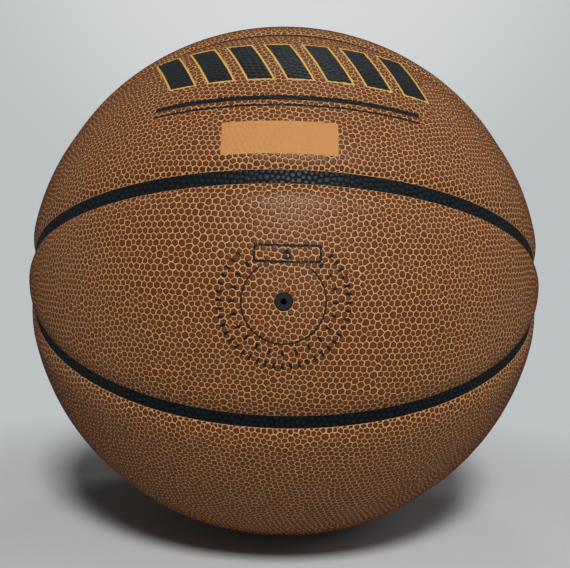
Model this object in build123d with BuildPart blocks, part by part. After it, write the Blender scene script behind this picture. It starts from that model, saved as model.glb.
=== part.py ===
from build123d import *

import os
from math import cos, radians, sin, sqrt, tan

# A size 6 basketball, 724 mm round, built up in layers: bladder, thread winding, rubber carcass, cover panels
# and the black strips laid in the channels between them, with a needle valve on the front.
# Millimetres and degrees. The origin is the ball's centre, +Z is up, the valve looks along -Y.

# Driving dimensions: the layers
ball_diameter = 230.5
cover_thickness = 3.0
carcass_thickness = 1.4
winding_thickness = 0.7
bladder_thickness = 0.8
cement_film = 0.1

# Driving dimensions: the channels and the panels' edges
channel_width = 4.6
strip_thickness = 0.8
strip_clearance = 0.2
edge_roll = 4.5

# Driving dimensions: the seam loops, seen along X as a V with a round nose
valve_drop = 22.5
loop_half_angle = 46.5
loop_vertex = 3.0
loop_nose_radius = 40.0

# Driving dimensions: the valve
neck_diameter = 6.2
neck_clearance = 0.1
neck_recess = 0.6
neck_rounding = 0.4
valve_body_diameter = 11.0
valve_body_length = 15.0
flange_diameter = 32.0
flange_thickness = 1.6
core_diameter = 4.2
core_clearance = 0.05
core_length = 19.0
core_rounding = 0.6
needle_hole_diameter = 2.0
needle_hole_depth = 13.0
needle_lead_in = 0.3

# Radii of the layers, from the outside in
ball_radius = ball_diameter / 2
cover_inner = ball_radius - cover_thickness
strip_top = cover_inner + strip_thickness
carcass_outer = cover_inner - cement_film
carcass_inner = carcass_outer - carcass_thickness
winding_outer = carcass_inner - cement_film
winding_inner = winding_outer - winding_thickness
bladder_outer = winding_inner - cement_film
bladder_inner = bladder_outer - bladder_thickness
flange_outer = bladder_inner - cement_film
flange_inner = flange_outer - flange_thickness

# The rolled edge is an arc cut off where it meets the carcass, a little inside the panel's wall.
roll_below_cover = max(edge_roll - cover_thickness, 0)
roll_setback = edge_roll - sqrt(edge_roll**2 - roll_below_cover**2)
wall_offset = channel_width / 2 - roll_setback
strip_offset = channel_width / 2 - strip_clearance
blank_inner = cover_inner - edge_roll
beyond_ball = 2 * ball_radius

# Frames of the seams: local XY holds the equator seam, local XZ the meridian seam.
# The rear frame is the front one after half a turn about X.
up_normal = (0, sin(radians(valve_drop)), cos(radians(valve_drop)))
down_normal = tuple(-part for part in up_normal)
seam_frames = {
    "front": Plane(origin=(0, 0, 0), x_dir=(1, 0, 0), z_dir=up_normal),
    "rear": Plane(origin=(0, 0, 0), x_dir=(1, 0, 0), z_dir=down_normal),
}

# Names of the pieces that lie above and below the local equator in each frame
lens_names = {
    "front": ("front_upper_panel", "valve_panel"),
    "rear": ("rear_lower_panel", "rear_upper_panel"),
}
outer_names = {
    "front": ("front_crown_panel", "front_base_panel"),
    "rear": ("rear_base_panel", "rear_crown_panel"),
}
loop_names = {
    "front": ("front_upper_loop_strip", "front_lower_loop_strip"),
    "rear": ("rear_lower_loop_strip", "rear_upper_loop_strip"),
}
meridian_names = ("top_meridian_strip", "bottom_meridian_strip")


def loop_corners(offset):
    """Corners of the V of a seam loop, moved outwards by an offset, in the plane seen along X."""
    vertex = loop_vertex - offset / sin(radians(loop_half_angle))
    rise = beyond_ball * tan(radians(loop_half_angle))
    return [(vertex + beyond_ball, rise), (vertex, 0), (vertex + beyond_ball, -rise)]


def loop_plane(frame):
    """Plane across X, with its own X axis towards the loop's side of the ball."""
    return Plane(origin=(0, 0, 0), x_dir=-frame.y_dir, z_dir=frame.x_dir)


def meridian_plane(frame):
    """Plane of the meridian seam, facing the loop's side of the ball."""
    return Plane(origin=(0, 0, 0), x_dir=frame.x_dir, z_dir=-frame.y_dir)


os.makedirs("parts", exist_ok=True)
halves = ((1, Keep.TOP), (-1, Keep.BOTTOM))

# Lens panels: two to each loop, inside it, on either side of the equator seam
for side, frame in seam_frames.items():
    for (sign, kept), panel_name in zip(halves, lens_names[side]):
        with BuildPart(frame) as lens_panel:
            Sphere(ball_radius)
            Sphere(blank_inner, mode=Mode.SUBTRACT)
            with BuildSketch(loop_plane(frame)):
                with BuildLine():
                    arms = FilletPolyline(*loop_corners(-wall_offset), radius=loop_nose_radius - wall_offset)
                    Line(arms @ 1, arms @ 0)
                make_face()
            extrude(amount=beyond_ball, both=True, mode=Mode.INTERSECT)
            split(bisect_by=frame.offset(sign * wall_offset), keep=kept)
            fillet(lens_panel.faces().sort_by(SortBy.AREA)[-1].edges(), radius=edge_roll)
            Sphere(cover_inner, mode=Mode.SUBTRACT)
            if panel_name == "valve_panel":
                with BuildSketch(Plane.XZ):
                    Circle(neck_diameter / 2 + neck_clearance)
                extrude(amount=beyond_ball, mode=Mode.SUBTRACT)
        lens_panel.part.label = panel_name
        export_step(lens_panel.part, f"parts/{panel_name}.step")

# Outer panels: between a loop and the meridian seam, on either side of the equator seam
for side, frame in seam_frames.items():
    for (sign, kept), panel_name in zip(halves, outer_names[side]):
        with BuildPart(frame) as outer_panel:
            Sphere(ball_radius)
            Sphere(blank_inner, mode=Mode.SUBTRACT)
            with BuildSketch(loop_plane(frame)):
                with BuildLine():
                    arms = FilletPolyline(*loop_corners(wall_offset), radius=loop_nose_radius + wall_offset)
                    Line(arms @ 1, arms @ 0)
                make_face()
            extrude(amount=beyond_ball, both=True, mode=Mode.SUBTRACT)
            split(bisect_by=frame.offset(sign * wall_offset), keep=kept)
            split(bisect_by=meridian_plane(frame).offset(wall_offset), keep=Keep.TOP)
            fillet(outer_panel.faces().sort_by(SortBy.AREA)[-1].edges(), radius=edge_roll)
            Sphere(cover_inner, mode=Mode.SUBTRACT)
        outer_panel.part.label = panel_name
        export_step(outer_panel.part, f"parts/{panel_name}.step")

# Equator strip: one closed ring in the channel that the eight panels share
front_frame = seam_frames["front"]
with BuildPart(front_frame) as equator_strip:
    Sphere(strip_top)
    Sphere(cover_inner, mode=Mode.SUBTRACT)
    split(bisect_by=front_frame.offset(strip_offset), keep=Keep.BOTTOM)
    split(bisect_by=front_frame.offset(-strip_offset), keep=Keep.TOP)
equator_strip.part.label = "equator_strip"
export_step(equator_strip.part, "parts/equator_strip.step")

# Meridian strips: two half rings that butt against the equator strip
for (sign, kept), strip_name in zip(halves, meridian_names):
    with BuildPart(front_frame) as meridian_strip:
        Sphere(strip_top)
        Sphere(cover_inner, mode=Mode.SUBTRACT)
        split(bisect_by=meridian_plane(front_frame).offset(strip_offset), keep=Keep.BOTTOM)
        split(bisect_by=meridian_plane(front_frame).offset(-strip_offset), keep=Keep.TOP)
        split(bisect_by=front_frame.offset(sign * (strip_offset + strip_clearance)), keep=kept)
    meridian_strip.part.label = strip_name
    export_step(meridian_strip.part, f"parts/{strip_name}.step")

# Loop strips: half a loop each, between two offsets of the loop, butted against the equator strip
for side, frame in seam_frames.items():
    for (sign, kept), strip_name in zip(halves, loop_names[side]):
        with BuildPart(frame) as loop_strip:
            Sphere(strip_top)
            Sphere(cover_inner, mode=Mode.SUBTRACT)
            for offset, cut in ((strip_offset, Mode.INTERSECT), (-strip_offset, Mode.SUBTRACT)):
                with BuildSketch(loop_plane(frame)):
                    with BuildLine():
                        arms = FilletPolyline(*loop_corners(offset), radius=loop_nose_radius + offset)
                        Line(arms @ 1, arms @ 0)
                    make_face()
                extrude(amount=beyond_ball, both=True, mode=cut)
            split(bisect_by=frame.offset(sign * (strip_offset + strip_clearance)), keep=kept)
        loop_strip.part.label = strip_name
        export_step(loop_strip.part, f"parts/{strip_name}.step")

# Carcass, thread winding and bladder: closed shells, each pierced by the valve's neck
layers = {
    "carcass": (carcass_outer, carcass_inner),
    "thread_winding": (winding_outer, winding_inner),
    "bladder": (bladder_outer, bladder_inner),
}
for layer_name, (outer_radius, inner_radius) in layers.items():
    with BuildPart() as layer:
        Sphere(outer_radius)
        Sphere(inner_radius, mode=Mode.SUBTRACT)
        with BuildSketch(Plane.XZ):
            Circle(neck_diameter / 2 + neck_clearance)
        extrude(amount=beyond_ball, mode=Mode.SUBTRACT)
    layer.part.label = layer_name
    export_step(layer.part, f"parts/{layer_name}.step")

# Valve seat: a flange against the inside of the bladder, a body inside it and a neck to the surface
neck_end = ball_radius - neck_recess
with BuildPart() as valve_seat:
    Sphere(flange_outer)
    Sphere(flange_inner, mode=Mode.SUBTRACT)
    with BuildSketch(Plane.XZ):
        Circle(flange_diameter / 2)
    extrude(amount=beyond_ball, mode=Mode.INTERSECT)
    with BuildSketch(Plane.XZ.offset(flange_inner - valve_body_length)):
        Circle(valve_body_diameter / 2)
    extrude(amount=valve_body_length + flange_thickness / 2)
    with BuildSketch(Plane.XZ.offset(flange_inner)):
        Circle(neck_diameter / 2)
    extrude(amount=neck_end - flange_inner)
    with BuildSketch(Plane.XZ):
        Circle(core_diameter / 2 + core_clearance)
    extrude(amount=beyond_ball, mode=Mode.SUBTRACT)
    outer_rim = valve_seat.edges().filter_by(GeomType.CIRCLE).group_by(Axis.Y)[0].sort_by(SortBy.RADIUS)[-1]
    fillet(outer_rim, radius=neck_rounding)
valve_seat.part.label = "valve_seat"
export_step(valve_seat.part, "parts/valve_seat.step")

# Valve core: the plug that the needle goes into, with its end level with the seat's neck
with BuildPart() as valve_core:
    with BuildSketch(Plane.XZ.offset(neck_end - core_length)):
        Circle(core_diameter / 2)
    extrude(amount=core_length)
    fillet(valve_core.edges().sort_by(Axis.Y)[-1], radius=core_rounding)
    with BuildSketch(Plane.XZ.offset(neck_end - needle_hole_depth)):
        Circle(needle_hole_diameter / 2)
    extrude(amount=needle_hole_depth, mode=Mode.SUBTRACT)
    hole_mouth = valve_core.edges().group_by(Axis.Y)[0].sort_by(SortBy.RADIUS)[0]
    chamfer(hole_mouth, length=needle_lead_in)
valve_core.part.label = "valve_core"
export_step(valve_core.part, "parts/valve_core.step")
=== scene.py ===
# %% [markdown]
# # A pebbled basketball, piece by piece
#
# The solids of this ball are already packed: eight cover panels, the black strips in the channels
# between them, and the layers and the valve inside. This lesson gives them their looks. Everything
# stays in metres and in the frame of the solids: the ball's centre is the origin, +Z is up, and the
# valve looks along -Y.

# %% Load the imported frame
import math
import random

import bmesh
import bpy
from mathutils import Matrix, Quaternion, Vector


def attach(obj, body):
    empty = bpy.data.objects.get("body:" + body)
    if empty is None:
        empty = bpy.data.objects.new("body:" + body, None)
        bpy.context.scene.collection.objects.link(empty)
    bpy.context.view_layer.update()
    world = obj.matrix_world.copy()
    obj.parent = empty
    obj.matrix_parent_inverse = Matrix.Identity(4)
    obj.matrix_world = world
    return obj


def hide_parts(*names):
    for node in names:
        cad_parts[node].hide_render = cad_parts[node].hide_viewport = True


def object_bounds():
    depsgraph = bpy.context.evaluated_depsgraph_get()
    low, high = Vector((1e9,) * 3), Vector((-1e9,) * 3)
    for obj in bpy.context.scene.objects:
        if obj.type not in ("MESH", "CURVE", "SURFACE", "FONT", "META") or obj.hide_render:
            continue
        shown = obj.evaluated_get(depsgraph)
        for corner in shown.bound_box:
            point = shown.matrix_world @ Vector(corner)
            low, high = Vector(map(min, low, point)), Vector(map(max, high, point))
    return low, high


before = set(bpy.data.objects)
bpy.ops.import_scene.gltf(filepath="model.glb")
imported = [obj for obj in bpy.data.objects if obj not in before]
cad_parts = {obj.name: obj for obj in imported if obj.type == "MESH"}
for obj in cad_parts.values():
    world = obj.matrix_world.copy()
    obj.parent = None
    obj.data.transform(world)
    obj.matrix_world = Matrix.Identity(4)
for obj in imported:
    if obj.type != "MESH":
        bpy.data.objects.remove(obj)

cad_box = [list(corner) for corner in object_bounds()]
MM = 0.001
BALL_RADIUS = (cad_box[1][2] - cad_box[0][2]) / 2
scene = bpy.context.scene
print("ball radius in mm:", round(BALL_RADIUS / MM, 2))

# %% [markdown]
# ## The camera
#
# A ball's outline is round from every side, so the perspective has to be read from its seams. They fit
# a camera about 3.7 ball radii from the centre, three and a half degrees above the valve's height. From
# there, the outline's radius in pixels gives the focal length. The ball sits a little left of the
# picture's middle and a little above it, which a small lens shift gives. Its seams drop a degree to the
# right, so the camera rolls by as much.

# %% Camera
IMAGE_WIDTH = 570
OUTLINE_RADIUS_PX = 255.0
BALL_LEFT_PX = 1.0
BALL_ABOVE_PX = 2.5
CAMERA_DISTANCE_RADII = 3.7
CAMERA_ELEVATION = math.radians(3.5)
CAMERA_ROLL = math.radians(1.2)
CLIP_START = 0.01

camera_data = bpy.data.cameras.new("camera")
camera = bpy.data.objects.new("camera", camera_data)
scene.collection.objects.link(camera)
scene.camera = camera
focal_px = OUTLINE_RADIUS_PX * math.sqrt(CAMERA_DISTANCE_RADII**2 - 1)
camera_data.lens = camera_data.sensor_width * focal_px / IMAGE_WIDTH
camera_data.shift_x = BALL_LEFT_PX / IMAGE_WIDTH
camera_data.shift_y = -BALL_ABOVE_PX / IMAGE_WIDTH
camera_data.clip_start = CLIP_START
towards_camera = Vector((0, -math.cos(CAMERA_ELEVATION), math.sin(CAMERA_ELEVATION)))
camera.location = towards_camera * BALL_RADIUS * CAMERA_DISTANCE_RADII
camera.rotation_mode = "QUATERNION"
camera.rotation_quaternion = towards_camera.to_track_quat("Z", "Y") @ Quaternion((0, 0, 1), CAMERA_ROLL)
print("lens in mm:", round(camera_data.lens, 2), "distance in m:", round(camera.location.length, 3))

# %% [markdown]
# ## Where the seams run
#
# Two great circles, an equator and a meridian, and two loops divide the cover. Seen along X, each loop
# is a V with a round nose, the same on the front and on the rear. So three distances say where a point
# lies: above the equator, behind the meridian, and inside the nearer loop.

# %% Seam distances
SEAM_TILT = math.radians(22.5)
SEAM_UP = Vector((0, math.sin(SEAM_TILT), math.cos(SEAM_TILT)))
SEAM_BACK = Vector((0, math.cos(SEAM_TILT), -math.sin(SEAM_TILT)))
LOOP_HALF_ANGLE = math.radians(46.5)
LOOP_VERTEX = 3.0 * MM
LOOP_NOSE_RADIUS = 40.0 * MM
LOOP_NOSE_CENTRE = LOOP_VERTEX + LOOP_NOSE_RADIUS / math.sin(LOOP_HALF_ANGLE)


def seam_distances(direction):
    """Distances over the ball: above the equator, behind the meridian, inside the nearer loop."""
    rise = direction.dot(SEAM_UP)
    depth = direction.dot(SEAM_BACK)
    height = BALL_RADIUS * abs(rise)
    forward = BALL_RADIUS * abs(depth) - LOOP_NOSE_CENTRE
    limb = forward * math.sin(LOOP_HALF_ANGLE) - height * math.cos(LOOP_HALF_ANGLE)
    if forward * math.cos(LOOP_HALF_ANGLE) + height * math.sin(LOOP_HALF_ANGLE) < 0:
        limb = -math.hypot(forward, height)
    return BALL_RADIUS * math.asin(rise), BALL_RADIUS * math.asin(depth), LOOP_NOSE_RADIUS + limb


print("valve below the equator, in mm:", round(-seam_distances(Vector((0, -1, 0)))[0] / MM, 1))

# %% [markdown]
# ## A field of pebbles
#
# The cover is pressed with pebbles about 2.3 mm apart, packed like a foam: mostly five to seven sides
# each, and no two alike. A displaced texture would blur them, so they are modelled. An icosphere cut to
# that spacing is shaken, its edges are turned to make well shaped triangles again, and each point moves
# towards the larger triangles around it, which evens it out.

# %% Pebble centres
FIELD_SEED = 6
FIELD_SUBDIVISIONS = 2
FIELD_CUTS = 29
POINT_SHAKE = 0.42
EVENING_ROUNDS = 11
random_draw = random.Random(FIELD_SEED)


def on_ball(mesh):
    """Puts every vertex back on the ball."""
    for vert in mesh.verts:
        vert.co = vert.co.normalized() * BALL_RADIUS


def shake(mesh, share):
    """Moves every point a random way over the ball, by up to a share of the spacing."""
    for vert in mesh.verts:
        out = vert.co.normalized()
        sideways = Quaternion(out, random_draw.uniform(0, 2 * math.pi)) @ out.orthogonal().normalized()
        vert.co += sideways * share * PEBBLE_SPACING * math.sqrt(random_draw.random())
    on_ball(mesh)


def even_out(mesh):
    """Turns edges for better triangles, then draws each point towards the larger ones around it."""
    bmesh.ops.beautify_fill(mesh, faces=mesh.faces[:], edges=mesh.edges[:], method="ANGLE")
    pulls = {face: (face.calc_area(), face.calc_center_median()) for face in mesh.faces}
    for vert in mesh.verts:
        around = [pulls[face] for face in vert.link_faces]
        weight = sum(area for area, middle in around)
        vert.co = sum((area * middle for area, middle in around), Vector()) / weight
    on_ball(mesh)


field = bmesh.new()
bmesh.ops.create_icosphere(field, subdivisions=FIELD_SUBDIVISIONS, radius=BALL_RADIUS)
bmesh.ops.subdivide_edges(field, edges=field.edges[:], cuts=FIELD_CUTS, use_grid_fill=True)
on_ball(field)
cell_area = 4 * math.pi * BALL_RADIUS**2 / len(field.verts)
PEBBLE_SPACING = math.sqrt(cell_area * 2 / math.sqrt(3))
shake(field, POINT_SHAKE)
for evening_round in range(EVENING_ROUNDS):
    even_out(field)
print("pebble centres:", len(field.verts), "spacing in mm:", round(PEBBLE_SPACING / MM, 2))

# %% [markdown]
# Now each point becomes a cell. Every edge gets a middle point and every triangle a centre point, and
# dissolving the first points and the middles leaves one polygon around each first point. A last small
# shake of the corners keeps the cells from looking like a honeycomb.

# %% Pebble cells
CORNER_SHAKE = 0.16

halved = bmesh.ops.bisect_edges(field, edges=field.edges[:], cuts=1)["geom_split"]
middles = {item for item in halved if isinstance(item, bmesh.types.BMVert)}
corners = set(bmesh.ops.poke(field, faces=field.faces[:])["verts"])
first_points = [vert for vert in field.verts if vert not in middles and vert not in corners]
bmesh.ops.dissolve_verts(field, verts=first_points)
bmesh.ops.dissolve_verts(field, verts=list(middles))
shake(field, CORNER_SHAKE)
cell_directions = [face.calc_center_median().normalized() for face in field.faces]
cell_sides = [len(face.verts) for face in field.faces]
print("pebbles:", len(cell_directions), "with sides:", min(cell_sides), "to", max(cell_sides))

# %% [markdown]
# ## From cells to a piece of cover
#
# Panels are die-cut from pebbled sheet, so the edge goes through the pebbles wherever it falls. A
# function gives the distance inside the edge. Each cell side that crosses the edge is split there, the
# new points are joined across the cells, and what lies outside is deleted. A cut pebble swells out a
# little between its valleys, so each piece of the edge gets a middle point further out.

# %% Cutting out
GRADIENT_STEP = 0.0005
SLIDE_TRIES = 4
KEPT_ROWS = 2
SNAP_SHARE = 0.12
SWELLING = 0.25 * MM


def slide(direction, inside, target):
    """Moves a point over the ball until it lies a target distance inside an edge."""
    for attempt in range(SLIDE_TRIES):
        here = inside(direction)
        side = direction.orthogonal().normalized()
        uphill = Vector((0, 0, 0))
        for axis in (side, direction.cross(side)):
            uphill += axis * (inside((direction + GRADIENT_STEP * axis).normalized()) - here)
        direction = (direction + uphill.normalized() * (target - here) / BALL_RADIUS).normalized()
    return direction


def cut_out(inside):
    """Copies the part of the pebble field that lies inside an edge."""
    piece = field.copy()
    piece.faces.ensure_lookup_table()
    far = [
        piece.faces[index]
        for index, direction in enumerate(cell_directions)
        if inside(direction) < -KEPT_ROWS * PEBBLE_SPACING
    ]
    bmesh.ops.delete(piece, geom=far, context="FACES")
    depths = {vert: inside(vert.co.normalized()) for vert in piece.verts}
    edge_verts = []
    for vert, depth in depths.items():
        if abs(depth) < SNAP_SHARE * PEBBLE_SPACING:
            vert.co = slide(vert.co.normalized(), inside, 0) * BALL_RADIUS
            depths[vert] = 0
            edge_verts.append(vert)
    for edge in piece.edges[:]:
        start, end = edge.verts
        if depths[start] * depths[end] < 0:
            share = depths[start] / (depths[start] - depths[end])
            middle = bmesh.utils.edge_split(edge, start, share)[1]
            middle.co = slide(middle.co.normalized(), inside, 0) * BALL_RADIUS
            edge_verts.append(middle)
    bmesh.ops.connect_verts(piece, verts=edge_verts)
    outside = [face for face in piece.faces if inside(face.calc_center_median().normalized()) < 0]
    bmesh.ops.delete(piece, geom=outside, context="FACES")
    for edge in [edge for edge in piece.edges if edge.is_boundary]:
        middle = bmesh.utils.edge_split(edge, edge.verts[0], 0.5)[1]
        middle.co = slide(middle.co.normalized(), inside, -SWELLING) * BALL_RADIUS
    return piece


on_equator = slide(Vector((0, -1, 0)), lambda direction: seam_distances(direction)[0], 0)
print("slid to the equator, short by mm:", round(seam_distances(on_equator)[0] / MM, 4))

# %% [markdown]
# The cut edge is then extruded in steps round the rim and down to the carcass, and a turned copy of the
# cells closes the underside. Points that meet there are welded, so the piece is one closed skin. A
# vertex attribute marks the rim with a level below the valleys, for the finish.

# %% Rims
RIM_LEVEL = -0.5
WELD_DISTANCE = 0.01 * MM


def close_underside(piece, inside, radius_at, rim_steps):
    """Gives a cut-out its height, extrudes its rim down and closes the bottom."""
    level = piece.verts.layers.float["pebble"]
    border = [edge for edge in piece.edges if edge.is_boundary]
    bottom_radius = rim_steps[-1][1]
    rim_paths = {}
    for vert in piece.verts:
        direction = vert.co.normalized()
        vert.co = direction * radius_at(direction)
        if vert.is_boundary:
            path = []
            for target, radius in rim_steps:
                direction = slide(direction, inside, target)
                path.append(direction * radius)
            rim_paths[tuple(vert.co)] = path
    copied = bmesh.ops.duplicate(piece, geom=piece.verts[:] + piece.edges[:] + piece.faces[:])["geom"]
    copied_faces = [item for item in copied if isinstance(item, bmesh.types.BMFace)]
    bmesh.ops.reverse_faces(piece, faces=copied_faces)
    for vert in (item for item in copied if isinstance(item, bmesh.types.BMVert)):
        if vert.is_boundary:
            vert.co = rim_paths[tuple(vert.co)][-1]
        else:
            vert.co = vert.co.normalized() * bottom_radius
    for step in range(len(rim_steps)):
        ring = bmesh.ops.extrude_edge_only(piece, edges=border)["geom"]
        ring_paths = {}
        for vert in (item for item in ring if isinstance(item, bmesh.types.BMVert)):
            path = rim_paths[tuple(vert.co)]
            vert.co = path[step]
            vert[level] = RIM_LEVEL
            ring_paths[tuple(vert.co)] = path
        rim_paths = ring_paths
        border = [item for item in ring if isinstance(item, bmesh.types.BMEdge) and item.is_boundary]
    open_verts = [vert for vert in piece.verts if vert.is_boundary]
    bmesh.ops.remove_doubles(piece, verts=open_verts, dist=WELD_DISTANCE)


print("points are welded within mm:", round(WELD_DISTANCE / MM, 3))

# %% [markdown]
# Last, every cell is inset three times. Each inset is drawn in, rounded and lifted, which makes a
# flat-topped pebble with a valley all around it. Two vertex attributes go with it: the level over the
# valley, and a tone of each pebble's own. The finish reads both.

# %% Pebbles
# Each ring has the share of the width that it keeps, its lift, and the level that it is marked with.
# Levels above 1 mark the middle of each top, where the finish paints a sheen.
PEBBLE_RINGS = ((0.85, 0.07 * MM, 0.5), (0.86, 0.08 * MM, 1.0), (0.7, 0.02 * MM, 1.5))
ROUNDING = 0.75
ROUND_LIMIT = 0.93
PEBBLE_RELIEF = sum(lift for share, lift, level in PEBBLE_RINGS)
INSET_START = 0.02 * MM


def raise_pebbles(piece, cells, pressed):
    """Insets every cell in rings and lifts it into a pebble, lower where the cell is small or pressed."""
    level = piece.verts.layers.float["pebble"]
    tone = piece.verts.layers.float["tone"]
    shares = {cell: pressed(cell) for cell in cells}
    lifts = {cell: shares[cell] * min(cell.calc_area() / cell_area, 1) for cell in cells}
    shades = {cell: random_draw.random() for cell in cells}
    for share, lift, ring_level in PEBBLE_RINGS:
        bmesh.ops.inset_individual(piece, faces=cells, thickness=INSET_START)
        for cell in cells:
            middle = cell.calc_center_median()
            raised = middle + middle.normalized() * lift * lifts[cell]
            spokes = {vert: vert.co - middle for vert in cell.verts}
            reach = sum(spoke.length for spoke in spokes.values()) / len(spokes)
            for vert, spoke in spokes.items():
                rounded = share * (1 - ROUNDING + ROUNDING * reach / spoke.length)
                vert.co = raised + spoke * min(rounded, ROUND_LIMIT)
                vert[level] = ring_level * shares[cell]
                vert[tone] = shades[cell]


def pebbled_piece(node, inside, radius_at, rim_steps, pressed):
    """One piece of cover in place of its CAD node."""
    piece = cut_out(inside)
    piece.verts.layers.float.new("pebble")
    piece.verts.layers.float.new("tone")
    cells = piece.faces[:]
    close_underside(piece, inside, radius_at, rim_steps)
    raise_pebbles(piece, cells, pressed)
    for face in piece.faces:
        face.smooth = True
    mesh = bpy.data.meshes.new(node + "_pebbled")
    piece.to_mesh(mesh)
    mesh.calc_loop_triangles()
    open_edges = sum(edge.is_boundary for edge in piece.edges)
    print(mesh.name, "pebbles:", len(cells), "triangles:", len(mesh.loop_triangles), "open:", open_edges)
    piece.free()
    made = bpy.data.objects.new(mesh.name, mesh)
    scene.collection.objects.link(made)
    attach(made, "ball")
    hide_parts(node)
    return made


print("pebble relief in mm:", round(PEBBLE_RELIEF / MM, 2))

# %% [markdown]
# ## The eight cover panels
#
# Each panel is a little cushion: the press that closes the seams draws its edge down to the strips, in
# a long flat roll, and flattens the last row of pebbles. The very edge turns down in a tight quarter
# round. The valve's hole is punched, so it is one more edge, but the panel doesn't roll down to it.

# %% Panel edges
CHANNEL_HALF = 2.65 * MM
RIM_RADIUS = 0.35 * MM
RIM_ANGLES = (math.radians(45), math.radians(90))
ROLL_RADIUS = 22.0 * MM
EDGE_DEPTH = 1.7 * MM
COVER_THICKNESS = 3.0 * MM
HOLE_RADIUS = 3.2 * MM
PRESSED_WIDTH = 2.5 * MM
PRESSED_SHARE = 0.7
roll_reach = math.sqrt(ROLL_RADIUS**2 - (ROLL_RADIUS - EDGE_DEPTH) ** 2)
edge_radius = BALL_RADIUS - PEBBLE_RELIEF - EDGE_DEPTH
panel_rim = [
    (-RIM_RADIUS * math.sin(angle), edge_radius - RIM_RADIUS * (1 - math.cos(angle)))
    for angle in RIM_ANGLES
]
panel_rim.append((-RIM_RADIUS, BALL_RADIUS - COVER_THICKNESS))


def panel_edge(signs):
    """A panel's edge, from the sides of the seams that it lies on."""

    def inside(direction):
        distances = seam_distances(direction)
        return min(sign * distance for sign, distance in zip(signs, distances)) - CHANNEL_HALF - RIM_RADIUS

    return inside


def punched(inside):
    """The same edge with the valve's hole taken out."""

    def inside_with_hole(direction):
        from_valve = BALL_RADIUS * math.acos(max(min(-direction.y, 1), -1))
        return min(inside(direction), from_valve - HOLE_RADIUS - RIM_RADIUS)

    return inside_with_hole


def rolled_radius(inside):
    """The cover's radius over a panel, which falls away in a long roll beside its seams."""

    def radius_at(direction):
        short = max(roll_reach - inside(direction), 0)
        return BALL_RADIUS - PEBBLE_RELIEF - ROLL_RADIUS + math.sqrt(ROLL_RADIUS**2 - short**2)

    return radius_at


def pressed_beside(inside):
    """The share of a pebble's height that the press leaves beside a seam."""

    def pressed(cell):
        depth = inside(cell.calc_center_median().normalized())
        return PRESSED_SHARE + (1 - PRESSED_SHARE) * max(min(depth / PRESSED_WIDTH, 1), 0)

    return pressed


print("width of the roll beside a seam, in mm:", round(roll_reach / MM, 1))

# %% [markdown]
# Every panel lies on one side of the equator, one side of the meridian, and inside or outside a loop.
# Three signs say which, so one table describes all eight.

# %% Cover panels
PANEL_SIGNS = {
    "valve_panel": (-1, -1, 1),
    "front_upper_panel": (1, -1, 1),
    "front_crown_panel": (1, -1, -1),
    "front_base_panel": (-1, -1, -1),
    "rear_upper_panel": (1, 1, 1),
    "rear_lower_panel": (-1, 1, 1),
    "rear_crown_panel": (1, 1, -1),
    "rear_base_panel": (-1, 1, -1),
}
panels = {}
for node, signs in PANEL_SIGNS.items():
    seam_edge = panel_edge(signs)
    cut_edge = punched(seam_edge) if node == "valve_panel" else seam_edge
    panels[node] = pebbled_piece(
        node, cut_edge, rolled_radius(seam_edge), panel_rim, pressed_beside(seam_edge)
    )

# %% [markdown]
# ## The black strips
#
# The strips carry the same pebbles in black. They lie on the carcass, just below the panels' edges, and
# their own edges go a little way under the rims, so that no gap shows.

# %% Channel strips
STRIP_TUCK = 0.3 * MM
STRIP_TOP_DEPTH = 1.9 * MM
STRIP_HALF = CHANNEL_HALF + STRIP_TUCK
strip_rim = [(0, BALL_RADIUS - COVER_THICKNESS)]


def equator_edge(direction):
    """Distance inside the strip on the equator."""
    return STRIP_HALF - abs(seam_distances(direction)[0])


def branch_edge(up, back):
    """The edge of a strip above (1) or below (-1) the equator, on a loop in front (-1) or behind (1)."""

    def inside(direction):
        rise, depth, loop = seam_distances(direction)
        return min(STRIP_HALF - abs(loop), up * rise - STRIP_HALF, back * depth)

    return inside


def meridian_edge(up):
    """The edge of the meridian's strip above (1) or below (-1) the equator."""

    def inside(direction):
        rise, depth = seam_distances(direction)[:2]
        return min(STRIP_HALF - abs(depth), up * rise - STRIP_HALF)

    return inside


def strip_radius(direction):
    """The radius of a strip's valleys, the same all over."""
    return BALL_RADIUS - STRIP_TOP_DEPTH - PEBBLE_RELIEF


def unpressed(cell):
    """The strips keep the whole height of their pebbles."""
    return 1


STRIP_EDGES = {
    "equator_strip": equator_edge,
    "top_meridian_strip": meridian_edge(1),
    "bottom_meridian_strip": meridian_edge(-1),
    "front_upper_loop_strip": branch_edge(1, -1),
    "front_lower_loop_strip": branch_edge(-1, -1),
    "rear_upper_loop_strip": branch_edge(1, 1),
    "rear_lower_loop_strip": branch_edge(-1, 1),
}
strips = {
    node: pebbled_piece(node, inside, strip_radius, strip_rim, unpressed)
    for node, inside in STRIP_EDGES.items()
}
field.free()

# %% [markdown]
# ## Finishes
#
# Colours are written as sRGB hex values, the way a colour picker shows them, and one function turns
# them into the linear values that the renderer works with. One more function adds a node.

# %% Material helpers


def linear(hex_code):
    """Linear RGBA of an sRGB hex colour."""
    shown = [int(hex_code[place : place + 2], 16) / 255 for place in (1, 3, 5)]
    return [part / 12.92 if part <= 0.04045 else ((part + 0.055) / 1.055) ** 2.4 for part in shown] + [1]


def add_node(tree, kind, inputs, output=None, **settings):
    """Adds a shader node with its settings, values and links, and returns one of its outputs."""
    node = tree.nodes.new("ShaderNode" + kind)
    for name, value in settings.items():
        setattr(node, name, value)
    for name, value in inputs.items():
        if isinstance(value, bpy.types.NodeSocket):
            tree.links.new(value, node.inputs[name])
        else:
            node.inputs[name].default_value = value
    if output:
        return node.outputs[output]
    return next(socket for socket in node.outputs if socket.enabled)


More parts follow.
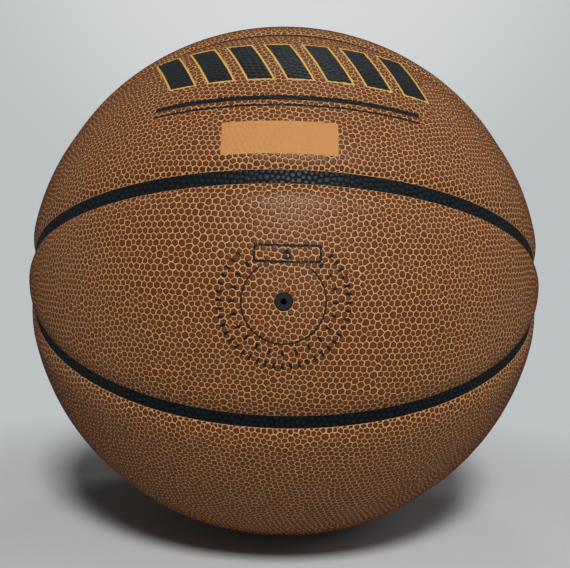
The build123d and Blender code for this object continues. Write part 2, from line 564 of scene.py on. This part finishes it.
def new_material(name):
    """A material, its node tree and its shader."""
    material = bpy.data.materials.new(name)
    material.use_nodes = True
    shader = next(node for node in material.node_tree.nodes if node.type == "BSDF_PRINCIPLED")
    return material, material.node_tree, shader


print("half of full brightness on screen, in linear light:", round(linear("#808080")[0], 3))

# %% [markdown]
# ## Marks round the valve
#
# The valve sits in the middle of a printed dial: a thin ring with a gap at the top, two rows of ticks,
# and the size number in a frame. Ink is too thin to model, so each mark is a mask that is worked out
# from Object coordinates: a Compare node is 1 where a distance lies within half a line's width. Each
# mask goes with the colour and the roughness of its ink. The sizes are in millimetres.

# %% Valve marks
BLACK_INK = ("#0b0807", 0.4)
RING_RADIUS = 14.7
RING_LINE = 0.6
RING_GAP = math.radians(36)
# Each row has its radius, the length of its ticks, and how many a whole round would have.
TICK_ROWS = ((18.0, 2.2, 24), (22.6, 2.2, 48))
TICK_WIDTH = 1.0
TICK_GAP = math.radians(42)
FRAME_CENTRE = (1.0, 0, 16.6)
FRAME_SIZE = (23.0, 5.6)
FRAME_CORNER = 1.0
FRAME_LINE = 0.85
NUMBER_STROKE = 0.95
BOWL_RADIUS = 1.0
STEM_RADIUS = 2.6
BOWL_DROP = 0.75
STEM_RIGHT = 0.45


def valve_marks(tree, place):
    """The masks of the dial round the valve, with their inks."""
    across = add_node(tree, "VectorMath", {0: place, 1: (1 / MM, 0, 1 / MM)}, operation="MULTIPLY")
    sides = add_node(tree, "SeparateXYZ", {0: across}).node.outputs
    radius = add_node(tree, "VectorMath", {0: across}, "Value", operation="LENGTH")
    angle = add_node(tree, "Math", {0: sides["X"], 1: sides["Z"]}, operation="ARCTAN2")
    turned = add_node(tree, "Math", {0: angle}, operation="ABSOLUTE")
    masks = []

    below = add_node(tree, "Math", {0: turned, 1: RING_GAP}, operation="GREATER_THAN")
    ring = add_node(tree, "Math", {0: radius, 1: RING_RADIUS, 2: RING_LINE / 2}, operation="COMPARE")
    masks.append(add_node(tree, "Math", {0: ring, 1: below}, operation="MULTIPLY"))
    below = add_node(tree, "Math", {0: turned, 1: TICK_GAP}, operation="GREATER_THAN")
    for row_radius, length, count in TICK_ROWS:
        row = add_node(tree, "Math", {0: radius, 1: row_radius, 2: length / 2}, operation="COMPARE")
        row = add_node(tree, "Math", {0: row, 1: below}, operation="MULTIPLY")
        beside = add_node(tree, "Math", {0: angle, 1: math.pi / count}, operation="PINGPONG")
        tick = add_node(tree, "Math", {0: beside, 1: TICK_WIDTH / 2 / row_radius}, operation="LESS_THAN")
        masks.append(add_node(tree, "Math", {0: row, 1: tick}, operation="MULTIPLY"))

    corner = (FRAME_SIZE[0] / 2 - FRAME_CORNER, 0, FRAME_SIZE[1] / 2 - FRAME_CORNER)
    local = add_node(tree, "VectorMath", {0: across, 1: FRAME_CENTRE}, operation="SUBTRACT")
    folded = add_node(tree, "VectorMath", {0: local}, operation="ABSOLUTE")
    past = add_node(tree, "VectorMath", {0: folded, 1: corner}, operation="SUBTRACT")
    past = add_node(tree, "VectorMath", {0: past, 1: (0, 0, 0)}, operation="MAXIMUM")
    past = add_node(tree, "VectorMath", {0: past}, "Value", operation="LENGTH")
    masks.append(add_node(tree, "Math", {0: past, 1: FRAME_CORNER, 2: FRAME_LINE / 2}, operation="COMPARE"))

    half_stroke = NUMBER_STROKE / 2
    bowl = (0, 0, -BOWL_DROP)
    from_bowl = add_node(tree, "VectorMath", {0: local, 1: bowl}, "Value", operation="DISTANCE")
    masks.append(add_node(tree, "Math", {0: from_bowl, 1: BOWL_RADIUS, 2: half_stroke}, operation="COMPARE"))
    stem = (STEM_RADIUS - BOWL_RADIUS, 0, -BOWL_DROP)
    from_stem = add_node(tree, "VectorMath", {0: local, 1: stem}, "Value", operation="DISTANCE")
    stroke = add_node(tree, "Math", {0: from_stem, 1: STEM_RADIUS, 2: half_stroke}, operation="COMPARE")
    local_sides = add_node(tree, "SeparateXYZ", {0: local}).node.outputs
    left_side = add_node(tree, "Math", {0: local_sides["X"], 1: STEM_RIGHT}, operation="LESS_THAN")
    above = add_node(tree, "Math", {0: local_sides["Z"], 1: -BOWL_DROP}, operation="GREATER_THAN")
    stroke = add_node(tree, "Math", {0: stroke, 1: left_side}, operation="MULTIPLY")
    masks.append(add_node(tree, "Math", {0: stroke, 1: above}, operation="MULTIPLY"))
    return [(mask, *BLACK_INK) for mask in masks]


print("the dial reaches, in mm:", round(TICK_ROWS[-1][0] + TICK_ROWS[-1][1] / 2, 1))

# %% [markdown]
# ## Decoration on the upper panel
#
# The upper panel carries a bold print: a row of slanted black bars with gold edges, two thin stripes
# under them, and a plain patch where the brown coat was left off. All of it follows the seam: one
# coordinate is X, the other is the distance over the ball above the equator, both in millimetres.

# %% Upper panel print
GLOSS_INK = ("#0c0d0f", 0.25)
GOLD_INK = ("#b8924a", 0.3)
BARE_COAT = ("#a97643", 0.6)
SLANT = 0.35
BAR_MIDDLE = 58.0
BAR_HALF_HEIGHT = 14.0
BAR_PITCH = 15.0
BAR_HALF_WIDTH = 5.4
BAR_COUNT = 7
GOLD_WIDTH = 0.8
# A stripe or patch has the place of its middle above the seam, half its height and half its length.
STRIPES = ((34.0, 1.2, 50.0), (30.2, 0.5, 50.0))
PATCH = (15.4, 7.0, 21.0)
PATCH_LEFT = 2.6


def upper_panel_print(tree, place):
    """The print's masks on the upper panel, with their inks."""
    x = add_node(tree, "SeparateXYZ", {0: place}, "X")
    x = add_node(tree, "Math", {0: x, 1: 1 / MM}, operation="MULTIPLY")
    out = add_node(tree, "VectorMath", {0: place}, operation="NORMALIZE")
    rise = add_node(tree, "VectorMath", {0: out, 1: SEAM_UP}, "Value", operation="DOT_PRODUCT")
    rise = add_node(tree, "Math", {0: rise}, operation="ARCSINE")
    rise = add_node(tree, "Math", {0: rise, 1: BALL_RADIUS / MM}, operation="MULTIPLY")

    over = add_node(tree, "Math", {0: rise, 1: BAR_MIDDLE}, operation="SUBTRACT")
    along = add_node(tree, "Math", {0: over, 1: SLANT, 2: x}, operation="MULTIPLY_ADD")
    beside = add_node(tree, "Math", {0: along, 1: BAR_PITCH / 2}, operation="PINGPONG")
    outside = -BAR_PITCH
    limits = ((beside, BAR_HALF_WIDTH), (over, BAR_HALF_HEIGHT), (along, BAR_COUNT * BAR_PITCH / 2))
    for distance, limit in limits:
        size = add_node(tree, "Math", {0: distance}, operation="ABSOLUTE")
        past = add_node(tree, "Math", {0: size, 1: limit}, operation="SUBTRACT")
        outside = add_node(tree, "Math", {0: outside, 1: past}, operation="MAXIMUM")
    gold = add_node(tree, "Math", {0: outside, 1: 0.0}, operation="LESS_THAN")
    black = add_node(tree, "Math", {0: outside, 1: -GOLD_WIDTH}, operation="LESS_THAN")
    marks = [(gold, *GOLD_INK), (black, *GLOSS_INK)]

    from_patch = add_node(tree, "Math", {0: x, 1: PATCH_LEFT}, operation="ADD")
    bands = [(x, stripe, GLOSS_INK) for stripe in STRIPES] + [(from_patch, PATCH, BARE_COAT)]
    for sideways, (middle, half_height, half_length), ink in bands:
        in_height = add_node(tree, "Math", {0: rise, 1: middle, 2: half_height}, operation="COMPARE")
        in_length = add_node(tree, "Math", {0: sideways, 1: 0.0, 2: half_length}, operation="COMPARE")
        marks.append((add_node(tree, "Math", {0: in_height, 1: in_length}, operation="MULTIPLY"), *ink))
    return marks


print("bars:", BAR_COUNT, "over a width in mm of", BAR_COUNT * BAR_PITCH)

# %% [markdown]
# ## Pebbled composite leather
#
# The cover is polyurethane on microfibre, tan all through its skin, with a darker brown rolled onto the
# pebbles' tops. So the valleys show as a thin pale net around dark dots, and no two dots have quite the
# same brown. The middle of each top is painted a little paler, a painted sheen. The tops are smoother
# than the valleys, so they shine softly where they face the lamp. Seen at a slant, the pebbles stand
# before one another and the shine dulls, so the roughness rises there. The turned-down rim is painted
# dark as painted shade in the channel. Print has the colour and the gloss of its own ink.

# %% Composite leather
LEATHER_IOR = 1.45
# The skin's real grain is finer. It is drawn at this size so that it still shows.
GRAIN_SIZE = 0.3 * MM
GRAIN_DETAIL = 2
GRAIN_STRENGTH = 0.15
GRAIN_DEPTH = 0.05 * MM
MOTTLE_SIZE = 18.0 * MM
MOTTLE_DETAIL = 3
MOTTLE_SHARE = 0.4
COAT_START = 0.08
COAT_FULL = 0.6
# Painted sheen: levels from here up paint the middle of each top paler.
SHEEN_PAINT_START = 1.0
SHEEN_PAINT_FULL = 2.0
SLANT_BLEND = 0.5
SLANT_START = 0.35
SLANT_FULL = 0.9
SLANT_ROUGH = 0.95
COVER_FINISH = {
    "valley": "#bf8e5f",
    "dark_top": "#371804",
    "light_top": "#4e2506",
    # The paler middle of each top is a painted sheen.
    "painted_sheen_top": "#6a3c15",
    # The rim colour is painted shade down in the channel.
    "rim": "#1d130d",
    "valley_rough": 0.65,
    "top_rough": 0.38,
    "gloss": 0.17,
}
CHANNEL_FINISH = {
    "valley": "#020202",
    "dark_top": "#080a0c",
    "light_top": "#0d1113",
    # The paler middle of each top is a painted sheen.
    "painted_sheen_top": "#1a2024",
    # The rim colour is painted shade down in the channel.
    "rim": "#020202",
    "valley_rough": 0.7,
    "top_rough": 0.36,
    "gloss": 0.08,
}


def pebbled_leather(name, finish, marks=None):
    """Pebbles in one colour over valleys in another, with a fine grain and any print."""
    valley = linear(finish["valley"])
    tops = {"A": linear(finish["dark_top"]), "B": linear(finish["light_top"])}
    material, tree, shader = new_material(name)
    place = add_node(tree, "TexCoord", {}, "Object")
    pebble = add_node(tree, "Attribute", {}, "Fac", attribute_name="pebble")
    tone = add_node(tree, "Attribute", {}, "Fac", attribute_name="tone")
    mottle = {"Vector": place, "Scale": 1 / MOTTLE_SIZE, "Detail": MOTTLE_DETAIL}
    mottle = add_node(tree, "TexNoise", mottle)
    shade = add_node(tree, "Mix", {"Factor": MOTTLE_SHARE, "A": tone, "B": mottle}, data_type="FLOAT")
    top = add_node(tree, "Mix", {"Factor": shade, **tops}, data_type="RGBA")
    # Painted sheen: the middle of each pebble's top is painted paler.
    painted_sheen = add_node(tree, "MapRange", {"Value": pebble, "From Min": SHEEN_PAINT_START, "From Max": SHEEN_PAINT_FULL})
    sheen_paint_mix = {"Factor": painted_sheen, "A": top, "B": linear(finish["painted_sheen_top"])}
    top = add_node(tree, "Mix", sheen_paint_mix, data_type="RGBA")
    coat = {"Value": pebble, "From Min": COAT_START, "From Max": COAT_FULL}
    coat = add_node(tree, "MapRange", coat, interpolation_type="SMOOTHSTEP")
    colour = add_node(tree, "Mix", {"Factor": coat, "A": valley, "B": top}, data_type="RGBA")
    # Painted shade: the turned-down rim is painted dark, where the channel lies in shade.
    rim_shade = add_node(tree, "MapRange", {"Value": pebble, "From Min": 0.0, "From Max": RIM_LEVEL})
    rim_shade_mix = {"Factor": rim_shade, "A": colour, "B": linear(finish["rim"])}
    colour = add_node(tree, "Mix", rim_shade_mix, data_type="RGBA")
    rough = {"Value": pebble, "To Min": finish["valley_rough"], "To Max": finish["top_rough"]}
    rough = add_node(tree, "MapRange", rough)
    for mask, ink, ink_rough in marks(tree, place) if marks else ():
        colour = add_node(tree, "Mix", {"Factor": mask, "A": colour, "B": linear(ink)}, data_type="RGBA")
        rough = add_node(tree, "Mix", {"Factor": mask, "A": rough, "B": ink_rough}, data_type="FLOAT")
    slant = add_node(tree, "LayerWeight", {"Blend": SLANT_BLEND}, "Facing")
    slant = add_node(tree, "MapRange", {"Value": slant, "From Min": SLANT_START, "From Max": SLANT_FULL})
    rough = add_node(tree, "Mix", {"Factor": slant, "A": rough, "B": SLANT_ROUGH}, data_type="FLOAT")
    tree.links.new(colour, shader.inputs["Base Color"])
    tree.links.new(rough, shader.inputs["Roughness"])
    grain = add_node(tree, "TexNoise", {"Vector": place, "Scale": 1 / GRAIN_SIZE, "Detail": GRAIN_DETAIL})
    bump = add_node(tree, "Bump", {"Height": grain, "Strength": GRAIN_STRENGTH, "Distance": GRAIN_DEPTH})
    tree.links.new(bump, shader.inputs["Normal"])
    shader.inputs["IOR"].default_value = LEATHER_IOR
    shader.inputs["Specular IOR Level"].default_value = finish["gloss"]
    return material


cover_leather = pebbled_leather("pebbled_composite_leather", COVER_FINISH)
valve_leather = pebbled_leather("valve_composite_leather", COVER_FINISH, valve_marks)
printed_leather = pebbled_leather("printed_composite_leather", COVER_FINISH, upper_panel_print)
channel_leather = pebbled_leather("black_composite_leather", CHANNEL_FINISH)
own_leather = {"valve_panel": valve_leather, "front_upper_panel": printed_leather}
for node, piece in panels.items():
    piece.data.materials.append(own_leather.get(node, cover_leather))
for piece in strips.values():
    piece.data.materials.append(channel_leather)
print("leather on panels:", len(panels), "and strips:", len(strips))

# %% [markdown]
# ## Inside the cover
#
# The bladder is blown from black butyl rubber, smooth from the mould, with a dull even shine. Kilometres
# of nylon thread are wound over it in every direction, so that it stays round: pale, ribbed patches
# that catch the light along the turns. The carcass is rubber again, cured on over the thread, matt with
# the fine grain of its mould. The valve is a softer, slightly blue-black rubber. These pieces keep their
# own solids and get a finish each.

# %% Rubber and thread
RUBBER_GLOSS = 0.2
CLOUD_SIZE = 25.0 * MM
CLOUD_DETAIL = 4
MOULD_DETAIL = 2
MOULD_STRENGTH = 0.4
# Real thread is about half as thick. It is drawn coarser so that the turns show.
THREAD_PITCH = 0.5 * MM
THREAD_STRENGTH = 0.6
LAY_SIZE = 40.0 * MM
COLOUR_MIDDLE = (0.5, 0.5, 0.5)


def moulded_rubber(name, dark, light, rough, grain_size, grain_depth):
    """Rubber with a cloudy surface and the grain of its mould."""
    material, tree, shader = new_material(name)
    place = add_node(tree, "TexCoord", {}, "Object")
    cloud = add_node(tree, "TexNoise", {"Vector": place, "Scale": 1 / CLOUD_SIZE, "Detail": CLOUD_DETAIL})
    colour = {"Factor": cloud, "A": linear(dark), "B": linear(light)}
    tree.links.new(add_node(tree, "Mix", colour, data_type="RGBA"), shader.inputs["Base Color"])
    grain = add_node(tree, "TexNoise", {"Vector": place, "Scale": 1 / grain_size, "Detail": MOULD_DETAIL})
    bump = add_node(tree, "Bump", {"Height": grain, "Strength": MOULD_STRENGTH, "Distance": grain_depth})
    tree.links.new(bump, shader.inputs["Normal"])
    shader.inputs["Roughness"].default_value = rough
    shader.inputs["Specular IOR Level"].default_value = RUBBER_GLOSS
    return material


def wound_thread(name, shaded_groove, thread, rough):
    """Thread in parallel turns, which run another way in every patch."""
    material, tree, shader = new_material(name)
    place = add_node(tree, "TexCoord", {}, "Object")
    patch = add_node(tree, "TexVoronoi", {"Vector": place, "Scale": 1 / LAY_SIZE}, "Color")
    course = add_node(tree, "VectorMath", {0: patch, 1: COLOUR_MIDDLE}, operation="SUBTRACT")
    course = add_node(tree, "VectorMath", {0: course}, operation="NORMALIZE")
    along = add_node(tree, "VectorMath", {0: place, 1: course}, "Value", operation="DOT_PRODUCT")
    beside = add_node(tree, "Math", {0: along, 1: THREAD_PITCH / 2}, operation="PINGPONG")
    height = add_node(tree, "MapRange", {"Value": beside, "From Max": THREAD_PITCH / 2})
    # Painted shade: the colour darkens into the grooves between the turns.
    colour = {"Factor": height, "A": linear(shaded_groove), "B": linear(thread)}
    tree.links.new(add_node(tree, "Mix", colour, data_type="RGBA"), shader.inputs["Base Color"])
    bump = {"Height": height, "Strength": THREAD_STRENGTH, "Distance": THREAD_PITCH / 2}
    tree.links.new(add_node(tree, "Bump", bump), shader.inputs["Normal"])
    shader.inputs["Roughness"].default_value = rough
    return material


valve_rubber = moulded_rubber(
    "valve_rubber", "#090c10", "#10151a", rough=0.6, grain_size=0.4 * MM, grain_depth=0.03 * MM
)
carcass_rubber = moulded_rubber(
    "carcass_rubber", "#0d0d0e", "#171718", rough=0.7, grain_size=0.8 * MM, grain_depth=0.05 * MM
)
butyl_rubber = moulded_rubber(
    "butyl_rubber", "#0b0b0c", "#131314", rough=0.45, grain_size=2.0 * MM, grain_depth=0.02 * MM
)
INNER_FINISHES = {
    "carcass": carcass_rubber,
    # The darker thread colour is painted shade in the grooves between turns.
    "thread_winding": wound_thread("nylon_thread", "#55503f", "#d8d2bf", rough=0.5),
    "bladder": butyl_rubber,
    "valve_seat": valve_rubber,
    "valve_core": valve_rubber,
}
for node, finish in INNER_FINISHES.items():
    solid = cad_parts[node]
    solid.data.materials.clear()
    solid.data.materials.append(finish)
    print(node, "is finished in", finish.name)

# %% [markdown]
# ## The stage
#
# The ball stands on matt pale paper, which shows light and shadow softly and hardly shines. Further out
# it fades into the pale background, so no edge shows from any side. That background is only for what
# looks at it: rays from the camera, mirror images and rays through clear things. The light on the ball
# doesn't come from there.

# %% Stage
FLOOR_REACH = 4.0
FLOOR_SEGMENTS = 64
FADE_START = 0.14
FADE_END = 0.3
PAPER = "#c2c4c5"
PAPER_ROUGH = 0.9
PAPER_GLOSS = 0.1
BACKGROUND = "#bdc1c2"
ALONG_FLOOR = (1, 1, 0)


def looking_rays(tree):
    """1 for rays from the camera, in reflections and through clear things, and 0 for the rest."""
    rays = add_node(tree, "LightPath", {}).node.outputs
    looking = rays["Is Camera Ray"]
    for kind in ("Is Glossy Ray", "Is Transmission Ray"):
        looking = add_node(tree, "Math", {0: looking, 1: rays[kind]}, operation="ADD", use_clamp=True)
    return looking


paper_disc = bmesh.new()
bmesh.ops.create_circle(paper_disc, cap_ends=True, radius=FLOOR_REACH, segments=FLOOR_SEGMENTS)
bmesh.ops.translate(paper_disc, verts=paper_disc.verts[:], vec=(0, 0, -BALL_RADIUS))
paper_mesh = bpy.data.meshes.new("paper_floor")
paper_disc.to_mesh(paper_mesh)
paper_disc.free()
paper_floor = bpy.data.objects.new("paper_floor", paper_mesh)
scene.collection.objects.link(paper_floor)

paper, paper_tree, paper_shader = new_material("matt_paper")
paper_shader.inputs["Base Color"].default_value = linear(PAPER)
paper_shader.inputs["Roughness"].default_value = PAPER_ROUGH
paper_shader.inputs["Specular IOR Level"].default_value = PAPER_GLOSS
paper_place = add_node(paper_tree, "TexCoord", {}, "Object")
paper_flat = add_node(paper_tree, "VectorMath", {0: paper_place, 1: ALONG_FLOOR}, operation="MULTIPLY")
paper_far = add_node(paper_tree, "VectorMath", {0: paper_flat}, "Value", operation="LENGTH")
paper_fade = {"Value": paper_far, "From Min": FADE_START, "From Max": FADE_END}
paper_fade = add_node(paper_tree, "MapRange", paper_fade, interpolation_type="SMOOTHSTEP")
paper_fade = {0: paper_fade, 1: looking_rays(paper_tree)}
paper_fade = add_node(paper_tree, "Math", paper_fade, operation="MULTIPLY")
paper_glow = add_node(paper_tree, "Emission", {"Color": linear(BACKGROUND)})
paper_mixed = {0: paper_fade, 1: paper_shader.outputs["BSDF"], 2: paper_glow}
paper_mixed = add_node(paper_tree, "MixShader", paper_mixed)
paper_output = next(node for node in paper_tree.nodes if node.type == "OUTPUT_MATERIAL")
paper_tree.links.new(paper_mixed, paper_output.inputs["Surface"])
paper_mesh.materials.append(paper)
print("the paper lies at z in mm:", round(-BALL_RADIUS / MM, 2))

# %% [markdown]
# ## Background and lamps
#
# The background glows a little behind the top of the ball. A softbox hangs in front of the ball, above
# the camera and far enough off to be small, so the shadow has a clear edge. Three dim ones fill in: one
# in front at the height of the ball's middle, for the lower half, one on the right, and one overhead, a
# little behind, which glints in the ink. The world is dim too, so the underside falls dark and the
# shadow gathers around the contact.

# %% Background
BACKGROUND_GLOW = "#d6d8d9"
GLOW_DIRECTION = (0.0, 0.94, 0.34)
GLOW_START = 0.93
GLOW_FULL = 1.0
AMBIENT = 0.025
AMBIENT_COLOUR = "#ffffff"

scene.view_settings.view_transform = "Standard"
world = bpy.data.worlds.new("studio")
scene.world = world
world.use_nodes = True
sky = world.node_tree
sky_place = add_node(sky, "TexCoord", {}, "Generated")
sky_near = add_node(sky, "VectorMath", {0: sky_place, 1: GLOW_DIRECTION}, "Value", operation="DOT_PRODUCT")
sky_near = {"Value": sky_near, "From Min": GLOW_START, "From Max": GLOW_FULL}
sky_near = add_node(sky, "MapRange", sky_near, interpolation_type="SMOOTHSTEP")
sky_colour = {"Factor": sky_near, "A": linear(BACKGROUND), "B": linear(BACKGROUND_GLOW)}
sky_colour = add_node(sky, "Mix", sky_colour, data_type="RGBA")
sky_shown = add_node(sky, "Background", {"Color": sky_colour})
sky_light = add_node(sky, "Background", {"Color": linear(AMBIENT_COLOUR), "Strength": AMBIENT})
sky_mixed = add_node(sky, "MixShader", {0: looking_rays(sky), 1: sky_light, 2: sky_shown})
sky_output = next(node for node in sky.nodes if node.type == "OUTPUT_WORLD")
sky.links.new(sky_mixed, sky_output.inputs["Surface"])
print("light from the world:", AMBIENT)

# %% [markdown]
# Each lamp is a square that faces the ball. Its row gives its place and side in metres and its power in
# watts.

# %% Softboxes
SOFTBOXES = {
    "key_softbox": ((0.14, -1.71, 1.55), 0.42, 56),
    "front_softbox": ((0.15, -1.1, -0.01), 0.2, 1.4),
    "side_softbox": ((0.8, -0.5, 0.6), 0.5, 1.2),
    "top_softbox": ((0.1, 0.3, 1.1), 0.25, 1.1),
}
for name, (place, side, power) in SOFTBOXES.items():
    lamp_data = bpy.data.lights.new(name, "AREA")
    lamp_data.size = side
    lamp_data.energy = power
    lamp = bpy.data.objects.new(name, lamp_data)
    lamp.location = place
    lamp.rotation_mode = "QUATERNION"
    lamp.rotation_quaternion = Vector(place).to_track_quat("Z", "Y")
    scene.collection.objects.link(lamp)
    print(name, "distance in m:", round(Vector(place).length, 2), "power in W:", power)
